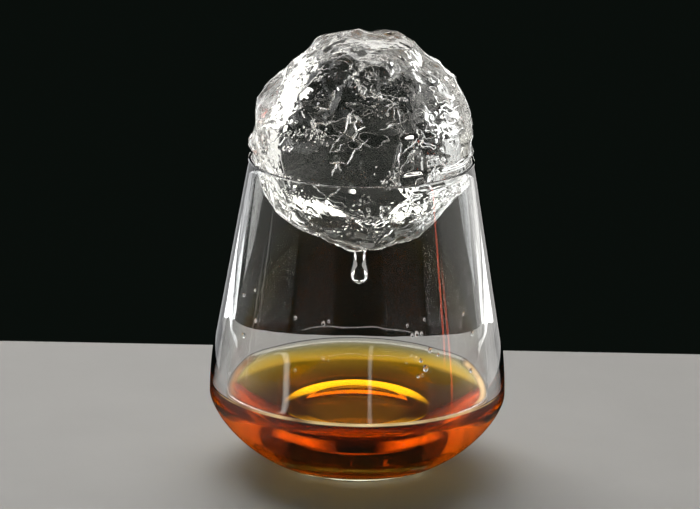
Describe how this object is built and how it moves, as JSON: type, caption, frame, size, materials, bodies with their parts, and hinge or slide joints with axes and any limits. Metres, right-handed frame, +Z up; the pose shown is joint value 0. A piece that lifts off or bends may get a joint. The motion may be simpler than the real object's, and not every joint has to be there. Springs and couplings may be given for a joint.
{
  "type": "rum on the rocks",
  "caption": "Stemless tumbler, wide at the base, with a shallow pour of rum; a large clear ice ball rests on its rim and drips into it.",
  "frame": {"origin": "centre of the tumbler's foot, on the surface that it stands on", "axes": "+Z up along the tumbler's axis, +X to the right, -Y to the front"},
  "size_m": [0.092, 0.092, 0.137],
  "materials": {
    "glass": "clear and polished",
    "rum": "clear amber liquid",
    "ice": "clear ice with a wet surface",
    "meltwater": "clear water"
  },
  "bodies": {
    "root": {"glass": "glass", "rum": "rum", "ice_ball": "ice", "melt_drop": "meltwater"}
  },
  "joints": []
}
